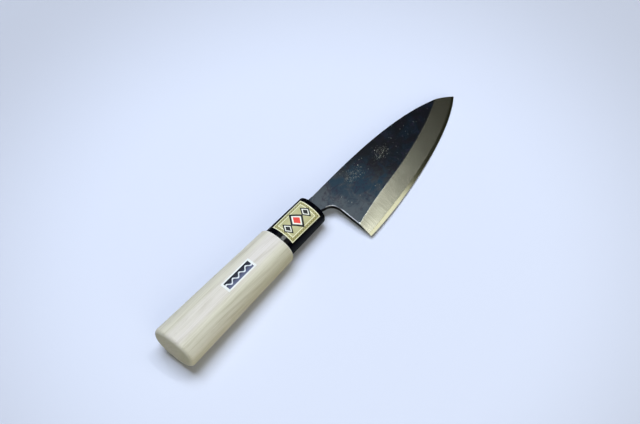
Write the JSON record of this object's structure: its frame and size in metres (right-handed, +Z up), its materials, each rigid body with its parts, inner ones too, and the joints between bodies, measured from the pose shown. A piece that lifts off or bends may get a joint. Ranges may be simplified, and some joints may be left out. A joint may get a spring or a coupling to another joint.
{
  "type": "ajikiri fish knife",
  "caption": "Small single-bevel Japanese fish knife with a black-scaled laminated blade, a pale oval wooden handle and a black plastic ferrule, lying on its flat side.",
  "frame": {"origin": "middle of the knife's box, on the surface that it lies on", "axes": "+X along the knife from butt to tip, +Y from the cutting edge to the spine, +Z up, away from the surface"},
  "size_m": [0.2308, 0.0486, 0.0226],
  "materials": {
    "forged_iron": "black forge scale on the flat, bare grey ground bevel",
    "hard_steel": "ground hard steel",
    "handle_wood": "sanded pale wood, unlacquered",
    "ferrule_plastic": "glossy black moulded plastic",
    "seal_resin": "dark cast resin",
    "gold_label": "gold printed label",
    "blue_label": "printed sticker, dark blue with a white border"
  },
  "bodies": {
    "root": {"blade_body": "forged_iron", "cutting_steel": "hard_steel", "handle": "handle_wood", "ferrule": "ferrule_plastic", "tang_seal": "seal_resin", "ferrule_label": "gold_label", "handle_label": "blue_label"}
  },
  "joints": []
}
